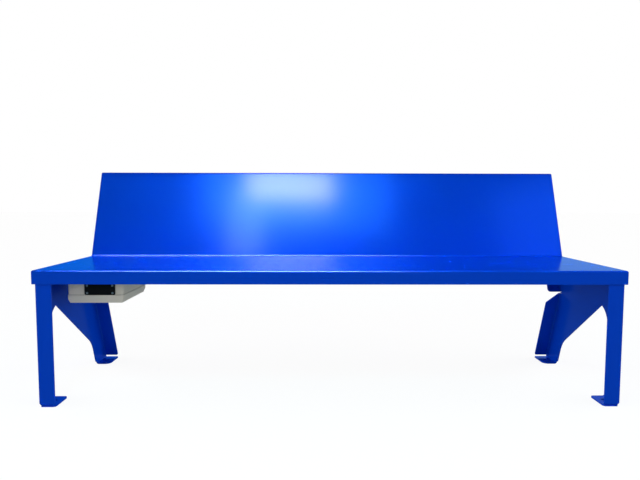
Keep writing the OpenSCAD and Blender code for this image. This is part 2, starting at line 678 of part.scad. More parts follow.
knock_out_z = (base_low + ceiling) / 2;

module box_base() color(box_grey) from_front() difference() {
    union() {
        difference() {
            upright(base_low, box_top) rounded_rect(base_x0, base_y0, base_x1, base_y1, box_corner_r);
            upright(base_low - 1, ceiling) rounded_rect(base_x0 + box_wall, base_y0 + box_wall,
                base_x1 - box_wall, base_y1 - box_wall, box_corner_r - box_wall);
        }
        for (p = boss_places) rod_z(base_low, ceiling + 1, p[0], p[1], boss_r);
        for (y = rail_screw_y) rod_z(ceiling - rail_drop, ceiling + 1, box_mid_x, y, 6);
    }
    for (p = boss_places) rod_z(base_low - 1, base_low + 25, p[0], p[1], lid_screw_r + 0.05);
    for (y = rail_screw_y) rod_z(ceiling - rail_drop - 1, box_top - 1, box_mid_x, y, 1.8);
    for (p = box_screw_places) rod_z(ceiling - 1, box_top + 1, p[0], p[1], small_screw_r + hole_play);
    rod_z(ceiling - 1, box_top + 1, loom_entry_x, loom_y, grommet_hole_r);
    rod_z(ceiling - 1, box_top + 1, earth_x, earth_y, earth_r + hole_play);
    rod_y(base_y1 - box_wall - 1, base_y1 + 1, gland_x, gland_z, gland_thread_r + 0.2);
    along_y(base_y0 - 1, base_y0 + box_wall + 1)
        rounded_rect(plate_x - plate_width / 2 + 18, plate_low + 9, plate_x + plate_width / 2 - 18,
                     plate_low + plate_height - 9, 4);
    for (x = [-1, 1], z = [-1, 1]) rod_y(base_y0 - 1, base_y0 + box_wall + 1, plate_x + x * plate_screw_x / 2,
        plate_low + plate_height / 2 + z * plate_screw_z / 2, plate_screw_r + 0.05);
    for (x = [box_x0 + 30]) knock_out_y(base_y0 - 0.6, base_y0 + 0.01, x);
    for (x = [box_x0 + 38, box_x0 + 78]) knock_out_y(base_y1 - 0.01, base_y1 + 0.6, x);
    for (y = [box_y0 + 75, box_y1 - 75]) {
        knock_out_x(base_x1 - 0.6, base_x1 + 0.01, y);
        knock_out_x(base_x0 - 0.01, base_x0 + 0.6, y);
    }
}
// A shallow ring round each knock-out
module knock_out_y(y0, y1, x) difference() {
    rod_y(y0 - 0.01, y1 + 0.6, x, knock_out_z, knock_out_r);
    rod_y(y0 - 1, y1 + 1, x, knock_out_z, knock_out_r - 1.2);
}
module knock_out_x(x0, x1, y) difference() {
    rod_x(x0 - 0.01, x1 + 0.01, y, knock_out_z, knock_out_r);
    rod_x(x0 - 1, x1 + 1, y, knock_out_z, knock_out_r - 1.2);
}
lid_rim = 6;
// The lid's outside, offset inwards by wall and with its underside raised by floor_up
module lid_body(wall, floor_up) {
    low = box_bottom + floor_up;
    rim = lid_top - lid_rim;
    intersection() {
        along_y(box_y0 - 1, box_y1 + 1) polygon([
            [box_x0 + wall, lid_top + 1], [box_x0 + wall, rim], [box_x0 + lid_taper + wall, low],
            [box_x1 - lid_taper - wall, low], [box_x1 - wall, rim], [box_x1 - wall, lid_top + 1]]);
        across(box_x0 - 1, box_x1 + 1) polygon([
            [box_y0 + wall, lid_top + 1], [box_y0 + wall, rim], [box_y0 + lid_taper + wall, low],
            [box_y1 - lid_taper - wall, low], [box_y1 - wall, rim], [box_y1 - wall, lid_top + 1]]);
        upright(low, lid_top + (wall > 0 ? 1 : 0)) rounded_rect(box_x0 + wall, box_y0 + wall, box_x1 - wall,
            box_y1 - wall, box_corner_r + rim_proud - wall);
    }
}
module box_lid() color(box_grey) from_front() difference() {
    union() {
        difference() {
            lid_body(0, 0);
            lid_body(box_wall + rim_proud, box_wall);
        }
        for (p = boss_places) intersection() {
            rod_z(box_bottom, lid_top, p[0], p[1], boss_r + 1);
            lid_body(0, 0);
        }
    }
    for (p = boss_places) {
        rod_z(box_bottom - 1, lid_top + 1, p[0], p[1], lid_screw_r + hole_play);
        rod_z(box_bottom - 1, box_bottom + 8, p[0], p[1], boss_r - 0.5);
    }
}
module lid_gasket() color("#2B2B2B") from_front() upright(lid_top, base_low) difference() {
    rounded_rect(base_x0 + 0.5, base_y0 + 0.5, base_x1 - 0.5, base_y1 - 0.5, box_corner_r - 0.5);
    rounded_rect(base_x0 + box_wall, base_y0 + box_wall, base_x1 - box_wall, base_y1 - box_wall, box_corner_r - box_wall);
}
module lid_screws() color(steel) from_front() for (p = boss_places)
    translate([p[0], p[1], box_bottom + 8]) pan_screw(lid_screw_r, lid_height - 8 + gasket_height + 18);
module box_screws() color(steel) from_front() for (p = box_screw_places)
    translate([p[0], p[1], ceiling]) pan_screw(small_screw_r, box_wall + cover_sheet + small_screw_r * 1.6 + 2);
module box_nuts() color(steel) from_front() for (p = box_screw_places)
    translate([p[0], p[1], rail_floor]) hex_nut(small_screw_r, small_screw_r * 1.6);

plate_back = base_y0 - plate_gasket;
module plate_outline(margin) rounded_rect(plate_x - plate_width / 2 + margin, plate_low + margin,
    plate_x + plate_width / 2 - margin, plate_low + plate_height - margin, 5 - margin);
module at_plate_screws() for (x = [-1, 1], z = [-1, 1])
    translate([plate_x + x * plate_screw_x / 2, plate_back - plate_sheet, plate_low + plate_height / 2 + z * plate_screw_z / 2])
        rotate([-90, 0, 0]) children();
module front_plate() color("#121212") from_front() difference() {
    union() {
        along_y(plate_back - plate_sheet, plate_back) plate_outline(0);
        rod_y(plate_back - plate_sheet - 0.6, plate_back - 1, plate_x + 13, plate_low + plate_height / 2 - 3, 12);
    }
    at_plate_screws() translate([0, 0, -1]) cylinder(plate_sheet + 2, plate_screw_r + hole_play, plate_screw_r + hole_play);
}
module front_plate_gasket() color("#1C1C1C") from_front() difference() {
    along_y(plate_back, base_y0) plate_outline(0.5);
    along_y(plate_back - 1, base_y0 + 1)
        rounded_rect(plate_x - plate_width / 2 + 18, plate_low + 9, plate_x + plate_width / 2 - 18,
                     plate_low + plate_height - 9, 4);
    at_plate_screws() cylinder(plate_sheet + 2, plate_screw_r + hole_play, plate_screw_r + hole_play);
}
module front_plate_screws() color(steel) from_front() at_plate_screws()
    pan_screw(plate_screw_r, plate_sheet + plate_gasket + box_wall + 2);

// Gland for the supply cable, with an open mouth. Its axis is along y and z = 0 is the box's outer face.
gland_mouth_r = 6;
module at_gland() translate([gland_x, base_y1, gland_z]) rotate([-90, 0, 0]) children();
module gland_body() color("#8E8E8E") from_front() at_gland() difference() {
    union() {
        translate([0, 0, -box_wall - 8]) cylinder(box_wall + 8, gland_thread_r, gland_thread_r);
        cylinder(6, 13.8, 13.8, $fn = 6);
        translate([0, 0, 6]) cylinder(9, 9.5, 9.5);
    }
    translate([0, 0, -box_wall - 9]) cylinder(box_wall + 30, gland_mouth_r + 1.6, gland_mouth_r + 1.6);
}
module gland_seal() color("#202020") from_front() at_gland() difference() {
    translate([0, 0, 3]) cylinder(12, gland_mouth_r + 1.5, gland_mouth_r + 1.5);
    translate([0, 0, 2]) cylinder(14, gland_mouth_r, gland_mouth_r);
}
module gland_nut() color("#8E8E8E") from_front() at_gland() difference() {
    union() {
        translate([0, 0, 6.3]) cylinder(9, 13.2, 13.2, $fn = 6);
        translate([0, 0, 15.3]) cylinder(6, 11, 8.2);
    }
    translate([0, 0, 5]) cylinder(10.3, 9.6, 9.6);
    translate([0, 0, 5]) cylinder(20, gland_mouth_r + 0.6, gland_mouth_r + 0.6);
}
module gland_locknut() color("#8E8E8E") from_front() at_gland() translate([0, 0, -box_wall - 5]) difference() {
    cylinder(5, 14.5, 14.5, $fn = 6);
    translate([0, 0, -1]) cylinder(7, gland_thread_r + 0.05, gland_thread_r + 0.05);
}

// Devices on the mounting rail, from the rear of the box to its front. Each hangs down from the rail.

din_width = 35;
din_depth = 7.5;
din_sheet = 1;
din_top = ceiling - rail_drop;
din_front = din_top - din_depth;
din_y0 = base_y0 + box_wall + 6;
din_y1 = base_y1 - box_wall - 6;
device_gap = 0.4;
clamp_width = 8;
breaker_width = 35.5;
supply_width = 71;
thermostat_width = 35.5;
terminal_width = 6;
terminal_count = 6;
breaker_y1 = din_y1 - clamp_width - 2 - device_gap;
supply_y1 = breaker_y1 - breaker_width - device_gap;
thermostat_y1 = supply_y1 - supply_width - device_gap;
terminals_y1 = thermostat_y1 - thermostat_width - device_gap;
terminals_y0 = terminals_y1 - terminal_count * (terminal_width + device_gap) + device_gap;
device_top = din_front - 0.2;
device_half = 43;
shoulder_drop = 42;
nose_drop = 52;
nose_half = 22.5;
rail_screw_y = [din_y0 + 25, din_y1 - 25];

module mounting_rail() color(steel) from_front() difference() {
    along_y(din_y0, din_y1) difference() {
        translate([box_mid_x - din_width / 2, din_front]) square([din_width, din_depth]);
        translate([box_mid_x - 12.5, din_front - 1]) square([25, din_depth + 1 - din_sheet]);
        for (side = [-1, 1]) translate([box_mid_x + side * 16 - 2.5, din_front + din_sheet]) square([5, din_depth]);
    }
    for (y = rail_screw_y) rod_z(din_front - 1, din_top + 1, box_mid_x, y, 2.3);
}
module mounting_rail_screws() color(steel) from_front() for (y = rail_screw_y)
    translate([box_mid_x, y, din_top - din_sheet]) pan_screw(1.75, 8);
// The side outline that the devices share, with a shoulder on each side for the terminals
module device_outline() difference() {
    polygon([for (p = [[-device_half, device_top], [-device_half, device_top - shoulder_drop],
        [-nose_half, device_top - shoulder_drop], [-nose_half, device_top - nose_drop],
        [nose_half, device_top - nose_drop], [nose_half, device_top - shoulder_drop],
        [device_half, device_top - shoulder_drop], [device_half, device_top]]) p + [box_mid_x, 0]]);
    translate([box_mid_x - din_width / 2 - 0.2, device_top - 2]) square([din_width + 0.4, 3]);
}
module device_feet(y0, y1) for (side = [-1, 1])
    along_y(y0, y1) translate([box_mid_x + side * (din_width / 2 + 2.4) - 2, device_top - 3]) square([4, 6]);
module device(y1, width) {
    along_y(y1 - width, y1) device_outline();
    device_feet(y1 - width, y1);
}
module terminal_holes(y1, width, poles) for (i = [0:poles - 1], side = [-1, 1])
    rod_z(device_top - shoulder_drop - 1, device_top - shoulder_drop + 5,
          box_mid_x + side * (device_half - 8), y1 - width * (i + 0.5) / poles, 2.5);
lever_y = breaker_y1 - breaker_width / 2;
lever_width = 9;
lever_r = 6;
lever_play = 0.4;
lever_z = device_top - nose_drop + 2.5;
lever_tilt = 25;
module circuit_breaker() color("#E6E6E2") from_front() difference() {
    device(breaker_y1, breaker_width);
    terminal_holes(breaker_y1, breaker_width, 2);
    rod_y(lever_y - lever_width / 2 - lever_play, lever_y + lever_width / 2 + lever_play, box_mid_x, lever_z,
          lever_r + lever_play);
}
module breaker_lever() color("#1E1E1E") from_front()
    translate([box_mid_x, lever_y - lever_width / 2, lever_z]) rotate([0, lever_tilt, 0]) {
        rod_y(0, lever_width, 0, 0, lever_r);
        along_y(0, lever_width) polygon([[-3, 0], [3, 0], [2, -13], [-2, -13]]);
    }
module power_supply() color("#3A3A3C") from_front() difference() {
    device(supply_y1, supply_width);
    terminal_holes(supply_y1, supply_width, 4);
    for (i = [0:7]) block([box_mid_x - 14, supply_y1 - supply_width + 12 + 6 * i, device_top - nose_drop - 1],
                          [box_mid_x + 14, supply_y1 - supply_width + 14.5 + 6 * i, device_top - nose_drop + 2]);
}
dial_y = thermostat_y1 - thermostat_width / 2;
dial_r = 9;
module thermostat() color("#E0E0DC") from_front() difference() {
    device(thermostat_y1, thermostat_width);
    terminal_holes(thermostat_y1, thermostat_width, 3);
    rod_z(device_top - nose_drop - 1, device_top - nose_drop + 8, box_mid_x, dial_y, 3.3);
}
module thermostat_dial() color("#2E5FA8") from_front() difference() {
    union() {
        rod_z(device_top - nose_drop - 0.4, device_top - nose_drop + 7.5, box_mid_x, dial_y, 3);
        rod_z(device_top - nose_drop - 8.4, device_top - nose_drop - 0.4, box_mid_x, dial_y, dial_r);
    }
    block([box_mid_x - 1, dial_y, device_top - nose_drop - 9.4],
          [box_mid_x + 1, dial_y + dial_r + 1, device_top - nose_drop - 7.4]);
}
terminal_half = 24;
terminal_drop = 36;
module terminal_blocks() color("#9A9A94") from_front() for (i = [0:terminal_count - 1]) {
    y1 = terminals_y1 - i * (terminal_width + device_gap);
    difference() {
        along_y(y1 - terminal_width, y1) difference() {
            polygon([for (p = [[-terminal_half, device_top], [-terminal_half, device_top - terminal_drop + 12],
                [-12, device_top - terminal_drop], [12, device_top - terminal_drop],
                [terminal_half, device_top - terminal_drop + 12], [terminal_half, device_top]]) p + [box_mid_x, 0]]);
            translate([box_mid_x - din_width / 2 - 0.2, device_top - 2]) square([din_width + 0.4, 3]);
        }
        for (side = [-1, 1]) rod_z(device_top - terminal_drop - 1, device_top - terminal_drop + 8,
            box_mid_x + side * 8, y1 - terminal_width / 2, 1.8);
    }
    device_feet(y1 - terminal_width, y1);
}
clamp_half = 22;
clamp_drop = 26;
module end_clamps() color("#8C8C86") from_front() for (y1 = [din_y1 - 2, terminals_y0 - device_gap]) difference() {
    along_y(y1 - clamp_width, y1) difference() {
        translate([box_mid_x - clamp_half, device_top - clamp_drop]) square([2 * clamp_half, clamp_drop]);
        translate([box_mid_x - din_width / 2 - 0.2, device_top - 2]) square([din_width + 0.4, 3]);
    }
    rod_z(device_top - clamp_drop - 1, device_top - clamp_drop + 6, box_mid_x, y1 - clamp_width / 2, 2);
}

bar_length = 50;
module earth_bar() color("#C8A24A") from_front() difference() {
    block([earth_x - 5, earth_y - 8, ceiling - 7], [earth_x + 5, earth_y - 8 + bar_length, ceiling]);
    rod_z(ceiling - 8, ceiling + 1, earth_x, earth_y, earth_r + 0.2);
    for (i = [0:3]) rod_z(ceiling - 8, ceiling - 3, earth_x, earth_y + 12 + 8 * i, 1.8);
}
module earth_stud() color("#C8A24A") from_front() translate([earth_x, earth_y, 0]) {
    translate([0, 0, rail_floor]) cylinder(earth_head, 1.85 * earth_r, 1.85 * earth_r, $fn = 6);
    translate([0, 0, ceiling - 15]) cylinder(rail_floor - ceiling + 15, earth_r, earth_r);
}
module earth_nut() color("#C8A24A") from_front() translate([earth_x, earth_y, ceiling - 7 - 5]) hex_nut(earth_r, 5);

wire_r = 1.4;
wire_z = device_top - 20;
wire_out = device_half + 6;
// A wire that leaves the side of one device and enters the same side of the next
module side_loop(side, y0, y1) {
    x0 = box_mid_x + side * device_half;
    x1 = box_mid_x + side * wire_out;
    cable([[x0, y0, wire_z], [x1, y0, wire_z], [x1, y1, wire_z], [x0, y1, wire_z]], wire_r);
}
module box_wiring() color("#7A3B1E") from_front() {
    side_loop(-1, lever_y, supply_y1 - 12);
    side_loop(1, supply_y1 - supply_width + 12, dial_y + 6);
    side_loop(-1, dial_y, dial_y - 12);
    cable([[box_mid_x + device_half, dial_y - 6, wire_z], [loom_entry_x, dial_y - 6, wire_z],
           [loom_entry_x, loom_y, wire_z], [loom_entry_x, loom_y, loom_low]], wire_r);
}

seat_back_panel();
left_end_frame();
right_end_frame();
front_rail();
rear_rail();
left_seat_rib();
right_seat_rib();
left_back_rib();
right_back_rib();
left_knee_gusset();
right_knee_gusset();
rail_screws();
panel_studs();
stud_washers();
stud_nuts();
left_heater_mat();
centre_heater_mat();
right_heater_mat();
mat_cutouts();
left_insulation();
centre_insulation();
right_insulation();
left_seat_cover();
centre_seat_cover();
right_seat_cover();
cover_screws();
seat_sensor();
sensor_clip();
heater_loom();
loom_grommets();
box_base();
box_lid();
lid_gasket();
lid_screws();
box_screws();
box_nuts();
front_plate();
front_plate_gasket();
front_plate_screws();
gland_body();
gland_nut();
gland_seal();
gland_locknut();
mounting_rail();
mounting_rail_screws();
power_supply();
circuit_breaker();
breaker_lever();
thermostat();
thermostat_dial();
terminal_blocks();
end_clamps();
earth_bar();
earth_stud();
earth_nut();
box_wiring();
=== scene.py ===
# %% [markdown]
# A heated street bench, dressed for the camera.
# The real bench is three folded steel sheets with a blue powder coat: one sheet makes the seat and the back,
# and one folded plate stands under each end. A grey plastic box under the left end of the seat holds the
# control of the heating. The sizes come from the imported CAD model, so this notebook adds only the looks:
# cleaner meshes with softened edges, finishes, light and a camera.

import json
import math

import bmesh
import bpy
from mathutils import Matrix, Vector


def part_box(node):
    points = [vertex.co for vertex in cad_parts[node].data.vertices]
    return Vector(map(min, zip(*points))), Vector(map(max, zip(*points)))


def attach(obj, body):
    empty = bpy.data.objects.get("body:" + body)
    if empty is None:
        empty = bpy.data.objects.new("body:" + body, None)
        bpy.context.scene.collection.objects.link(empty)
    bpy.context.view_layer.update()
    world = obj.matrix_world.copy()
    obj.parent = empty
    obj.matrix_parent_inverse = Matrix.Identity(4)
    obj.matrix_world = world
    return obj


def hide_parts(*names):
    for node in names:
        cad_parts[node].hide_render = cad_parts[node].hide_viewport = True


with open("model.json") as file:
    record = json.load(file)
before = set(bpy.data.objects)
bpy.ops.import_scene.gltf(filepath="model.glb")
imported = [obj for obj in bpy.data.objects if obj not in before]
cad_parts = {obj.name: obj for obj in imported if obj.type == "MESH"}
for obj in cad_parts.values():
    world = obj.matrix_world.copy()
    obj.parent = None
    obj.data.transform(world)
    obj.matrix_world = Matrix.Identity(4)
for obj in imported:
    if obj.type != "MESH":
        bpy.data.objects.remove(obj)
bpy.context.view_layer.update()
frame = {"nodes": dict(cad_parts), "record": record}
MM = 0.001
BODY = "bench"
print("CAD nodes:", len(frame["nodes"]))

# %% [markdown]
# The camera stands where the photographer stood: a little left of the middle, two metres in front of it,
# five centimetres above the middle of the back, and looking slightly down. It could be aimed with a
# constraint, but three angles, here in radians, keep the small roll as well, and then nothing has to be
# evaluated later.

# %% Place the camera
CAMERA_PLACE = Vector((-0.05285, -1.992742, 0.67133))
PITCH_DOWN = 0.0726
YAW = 0.0094
ROLL = -0.0022
LENS_MM = 29.665
SENSOR_WIDTH_MM = 36

forward = Vector(
    (math.sin(YAW) * math.cos(PITCH_DOWN), math.cos(YAW) * math.cos(PITCH_DOWN), -math.sin(PITCH_DOWN))
)
level_right = Vector((math.cos(YAW), -math.sin(YAW), 0))
level_up = level_right.cross(forward)
right = math.cos(ROLL) * level_right - math.sin(ROLL) * level_up
up = math.sin(ROLL) * level_right + math.cos(ROLL) * level_up
turn = Matrix((right, up, -forward)).transposed().to_4x4()

camera = bpy.data.objects.new("camera", bpy.data.cameras.new("camera"))
camera.data.lens = LENS_MM
camera.data.sensor_width = SENSOR_WIDTH_MM
camera.matrix_world = Matrix.Translation(CAMERA_PLACE) @ turn
bpy.context.scene.collection.objects.link(camera)
bpy.context.scene.camera = camera
print("camera at", [round(v, 3) for v in CAMERA_PLACE])

# %% [markdown]
# Every finish below is built from shader nodes. Two helpers keep that short: one turns a colour as a designer
# writes it into the linear values that a shader needs, and one adds a node with its settings and its links.


# %% Helpers for colours and nodes
def linear(hex_colour):
    values = [int(hex_colour[i : i + 2], 16) / 255 for i in (1, 3, 5)]
    return [v / 12.92 if v <= 0.04045 else ((v + 0.055) / 1.055) ** 2.4 for v in values] + [1]


def add_node(tree, kind, settings=None, links=None):
    made = tree.nodes.new(kind)
    for key, value in (settings or {}).items():
        if isinstance(key, int) or key in made.inputs:
            made.inputs[key].default_value = value
        else:
            setattr(made, key, value)
    for key, (source, output) in (links or {}).items():
        tree.links.new(source.outputs[output], made.inputs[key])
    return made


print("middle grey as a shader gets it:", [round(v, 3) for v in linear("#808080")])

# %% [markdown]
# Most finishes differ in the same few things: their colour, how glossy they are, and a fine relief left by
# how the surface was made. This function takes those in real sizes. Cloudy variation, a hand wide, keeps
# large faces from looking like flat colour, and the relief is a noise whose cells are as wide as the real
# grain. Both also vary the gloss a little. An IOR of 1.5 is typical of paint, plastic and rubber, and metals
# keep it as the default. What only one finish needs, such as a clear coat, comes in as its own settings.

# %% A surface with colour, gloss and grain
CLOUDS_PER_METRE = 7.0
IOR = 1.5
DARK_UP_TO = 0.35
LIGHT_FROM = 0.65
NOISE_LOW = 0.3
NOISE_HIGH = 0.7
SMOOTHEST = 0.9
ROUGHEST = 1.12


def surface(
    name, colour, roughness, grain_mm, depth_mm, metallic=0.0, tone=0.03, stretch=(1, 1, 1), settings=None
):
    material = bpy.data.materials.new(name)
    material.use_nodes = True
    tree = material.node_tree
    tree.nodes.clear()
    place = add_node(tree, "ShaderNodeTexCoord")
    mapped = add_node(tree, "ShaderNodeMapping", {"Scale": stretch}, {"Vector": (place, "Object")})
    cloud = add_node(
        tree, "ShaderNodeTexNoise", {"Scale": CLOUDS_PER_METRE, "Detail": 3.0}, {"Vector": (place, "Object")}
    )
    grain = add_node(
        tree,
        "ShaderNodeTexNoise",
        {"Scale": 1 / (grain_mm * MM), "Detail": 2.0, "Roughness": 0.55},
        {"Vector": (mapped, "Vector")},
    )
    both = add_node(
        tree,
        "ShaderNodeMix",
        {"data_type": "FLOAT", "Factor": 0.5},
        {"A": (cloud, "Fac"), "B": (grain, "Fac")},
    )
    base = linear(colour)
    ramp = add_node(tree, "ShaderNodeValToRGB", {}, {"Fac": (both, "Result")})
    ramp.color_ramp.elements[0].position = DARK_UP_TO
    ramp.color_ramp.elements[0].color = [v * (1 - tone) for v in base[:3]] + [1]
    ramp.color_ramp.elements[1].position = LIGHT_FROM
    ramp.color_ramp.elements[1].color = [min(1.0, v * (1 + tone)) for v in base[:3]] + [1]
    gloss = add_node(
        tree,
        "ShaderNodeMapRange",
        {
            "From Min": NOISE_LOW,
            "From Max": NOISE_HIGH,
            "To Min": roughness * SMOOTHEST,
            "To Max": roughness * ROUGHEST,
        },
        {"Value": (both, "Result")},
    )
    relief = add_node(
        tree,
        "ShaderNodeBump",
        {"Strength": 1.0, "Distance": depth_mm * MM},
        {"Height": (grain, "Fac")},
    )
    shader = add_node(
        tree,
        "ShaderNodeBsdfPrincipled",
        {"Metallic": metallic, "IOR": IOR, **(settings or {})},
        {"Base Color": (ramp, "Color"), "Roughness": (gloss, "Result"), "Normal": (relief, "Normal")},
    )
    add_node(tree, "ShaderNodeOutputMaterial", {}, {"Surface": (shader, "BSDF")})
    print("finish", name, "grain", grain_mm, "mm")
    return material


# %% [markdown]
# The blue is polyester powder, sprayed on dry and melted into a skin about a tenth of a millimetre thick. It
# sets semi-gloss with a slight orange peel, waves a few millimetres wide. The eye sees two reflections in it:
# a broad blue haze from the pigment just under the surface, and a small white one from the clear binder on
# top. So the shader is about a quarter metal, which gives the rough blue reflection, its plain white
# reflection is off, and a smoother clear coat with a low IOR lies over it.

# %% The bench's blue powder coat
PAINT = surface(
    "polyester_powder_coat",
    "#0046CF",
    roughness=0.24,
    grain_mm=3.0,
    depth_mm=0.006,
    metallic=0.27,
    tone=0.02,
    settings={
        "Specular IOR Level": 0.0,
        "Specular Tint": (0.0, 0.3, 1.0, 1.0),
        "Coat Weight": 0.8,
        "Coat IOR": 1.3,
        "Coat Roughness": 0.16,
    },
)

# %% [markdown]
# The rest are the bought-in parts. Zinc plate, stainless steel, brass and mill-finish aluminium are metals:
# they mirror the room softly in their own colour, and the aluminium's grain is stretched along the bench, as
# rolling leaves it. The box and the devices are moulded plastics with the fine spark texture of their moulds,
# which softens their highlights. The box and the black plate over its front are duller in the photograph than
# plain plastic, so they reflect half as much. The mats are silicone rubber, satin and smooth, the gaskets are
# dull black rubber, and the boards are pressed mineral wool, matt and coarse. Real spark texture and plating
# are finer than the picture can show, so their grain is drawn half a millimetre wide or more.

# %% Finishes of the fittings
HALF_REFLECTION = {"Specular IOR Level": 0.25}
FINISHES = {
    "blue_coat": PAINT,
    "zinc_steel": surface("bright_zinc_plate", "#C6C9CC", 0.3, 0.8, 0.004, metallic=1.0, tone=0.05),
    "silicone_red": surface("silicone_rubber_mat", "#B5482C", 0.55, 1.2, 0.03),
    "sensor_steel": surface("drawn_stainless_steel", "#CFCFCC", 0.26, 0.6, 0.003, metallic=1.0, tone=0.04),
    "insulation_board": surface("pressed_mineral_wool", "#D6CFB5", 0.95, 2.5, 0.5, tone=0.14),
    "cover_aluminium": surface(
        "mill_finish_aluminium", "#CDD0D3", 0.36, 1.0, 0.006, metallic=1.0, tone=0.06, stretch=(0.04, 1, 1)
    ),
    "black_rubber": surface("black_epdm_rubber", "#1B1B1B", 0.7, 0.7, 0.02),
    "box_plastic": surface("moulded_polycarbonate", "#E6DCCD", 0.42, 0.9, 0.012, settings=HALF_REFLECTION),
    "black_plastic": surface(
        "black_glass_filled_nylon", "#0A0A0B", 0.55, 0.8, 0.012, tone=0.1, settings=HALF_REFLECTION
    ),
    "gland_plastic": surface("grey_nylon", "#8B8D8F", 0.45, 0.7, 0.01),
    "dark_plastic": surface("dark_device_plastic", "#38393B", 0.5, 0.7, 0.01),
    "light_plastic": surface("light_device_plastic", "#E2E2DC", 0.48, 0.7, 0.01),
    "dial_plastic": surface("blue_dial_plastic", "#2E5FA8", 0.45, 0.7, 0.01),
    "terminal_plastic": surface("grey_terminal_nylon", "#9B9B95", 0.5, 0.7, 0.01),
    "brass": surface("turned_brass", "#C7A14A", 0.3, 0.6, 0.004, metallic=1.0, tone=0.05),
    "wire_plastic": surface("brown_wire_pvc", "#74381D", 0.5, 0.6, 0.006),
}
slot_of = {part["node"]: part["material_slot"] for part in frame["record"]["subparts"]}
for node, cad_object in frame["nodes"].items():
    cad_object.data.materials.clear()
    cad_object.data.materials.append(FINISHES[slot_of[node]])
print("finishes:", len(FINISHES))

# %% [markdown]
# Each new piece is finished in the same way: it goes into the scene at the origin, gets its finish, rides
# on the bench's body and hides the CAD node that it stands for. A sheet gets its wall on the inner side.
# Weighted normals keep the big faces flat to the eye while the small rounded edges between them shade
# smoothly.


# %% Finish a piece
def finish_piece(name, mesh_data, node, edge_mm, edge_angle=40, wall_mm=0.0):
    for polygon in mesh_data.polygons:
        polygon.use_smooth = True
    piece = bpy.data.objects.new(name, mesh_data)
    bpy.context.scene.collection.objects.link(piece)
    if wall_mm:
        wall = piece.modifiers.new("wall", "SOLIDIFY")
        wall.thickness = wall_mm * MM
        wall.offset = -1
        wall.use_even_offset = True
    edge = piece.modifiers.new("edge", "BEVEL")
    edge.width = edge_mm * MM
    edge.segments = 2
    edge.limit_method = "ANGLE"
    edge.angle_limit = math.radians(edge_angle)
    normals = piece.modifiers.new("normals", "WEIGHTED_NORMAL")
    normals.keep_sharp = True
    mesh_data.materials.append(FINISHES[slot_of[node]])
    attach(piece, BODY)
    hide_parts(node)
    print("piece", name, "faces", len(mesh_data.polygons))


# %% [markdown]
# The seat and the back are one sheet, folded on a press brake. The mesh follows the same idea and starts with
# the sheet's outline as seen from the side. The outline runs from the seat's front edge to the bend, up the
# face of the back, down behind it and along underneath to the foot of the front apron. A point on the back is
# given by how far it lies up the slope and how far behind its face.

# %% The panel's side outline
SEAT_Z = 450 * MM
APRON_Z = 405 * MM
SEAT_DEPTH = 462 * MM
BACK_LENGTH = 367.5 * MM
BACK_LEAN = math.radians(20.2)
BACK_RETURN = 35 * MM
panel_low, panel_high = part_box("seat_back_panel")
front_y = panel_low.y


def back_point(along, behind):
    y = front_y + SEAT_DEPTH + along * math.sin(BACK_LEAN) + behind * math.cos(BACK_LEAN)
    return y, SEAT_Z + along * math.cos(BACK_LEAN) - behind * math.sin(BACK_LEAN)


rear_foot = (APRON_Z - SEAT_Z + BACK_RETURN * math.sin(BACK_LEAN)) / math.cos(BACK_LEAN)
side_outline = [
    (front_y, SEAT_Z),
    back_point(0, 0),
    back_point(BACK_LENGTH, 0),
    back_point(BACK_LENGTH, BACK_RETURN),
    back_point(rear_foot, BACK_RETURN),
    (front_y, APRON_Z),
]
print("outline from the front:", [(round(y, 3), round(z, 3)) for y, z in side_outline])

# %% [markdown]
# Extruding the outline along the bench gives a closed block. The real sheet is open under the seat and behind
# the back, so the faces that look that way are taken away, and the outer skin of the sheet is left.

# %% Pull the outline along the bench
NEARLY_STRAIGHT = 0.9
panel = bmesh.new()
side = panel.faces.new([panel.verts.new((panel_low.x, y, z)) for y, z in side_outline])
pulled = bmesh.ops.extrude_face_region(panel, geom=[side])
moved = [item for item in pulled["geom"] if isinstance(item, bmesh.types.BMVert)]
bmesh.ops.translate(panel, verts=moved, vec=(panel_high.x - panel_low.x, 0, 0))
bmesh.ops.recalc_face_normals(panel, faces=panel.faces)


def is_open(face):
    looks_down = face.normal.z < -NEARLY_STRAIGHT
    looks_back = face.normal.y > NEARLY_STRAIGHT and face.normal.z < 0
    return looks_down or looks_back


open_faces = [f for f in panel.faces if is_open(f)]
bmesh.ops.delete(panel, geom=open_faces, context="FACES")
print("open faces taken away:", len(open_faces))

# %% [markdown]
# A press brake leaves a radius at every fold. A bevel is measured from the old edge: at a right angle that is
# the radius itself, and at the flatter bend between seat and back it is the radius times the tangent of half
# the turn. That bend is rounded first, and then every sharp fold that is left. Solidify gives the sheet its
# thickness inwards, so the outside keeps the size of the CAD model.

# %% Round the folds
PANEL_SHEET_MM = 3
FOLD_R = 6 * MM
JUNCTION_R = 6 * MM
FOLD_SEGMENTS = 6
SHARP = math.radians(30)
junction_y, junction_z = back_point(0, 0)


def at_junction(vert):
    return abs(vert.co.y - junction_y) < MM and abs(vert.co.z - junction_z) < MM


